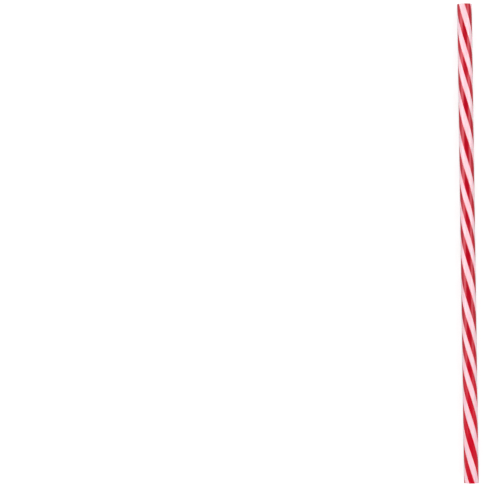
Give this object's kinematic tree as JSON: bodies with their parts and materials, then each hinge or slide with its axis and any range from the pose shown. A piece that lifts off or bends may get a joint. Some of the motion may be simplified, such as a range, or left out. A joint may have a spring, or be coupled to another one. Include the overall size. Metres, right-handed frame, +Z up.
{
  "type": "reusable plastic straw",
  "caption": "Straight reusable drinking straw: one stiff plastic tube, open at both ends, milky white with flush red stripes that wind left-handed around it.",
  "frame": {"origin": "bottom centre of the bounding box: the point on the resting surface right under the middle of the lying straw", "axes": "+X along the straw, +Z up from the surface that it lies on; the straw's axis is at Z = 3.5 mm"},
  "size_m": [0.2286, 0.007, 0.007],
  "materials": {
    "straw_plastic": "glossy milky white plastic with flush crimson stripes, winding left-handed with a lead of 71.1 mm, that cover half of the outside"
  },
  "bodies": {
    "root": {"straw": "straw_plastic"}
  },
  "joints": []
}
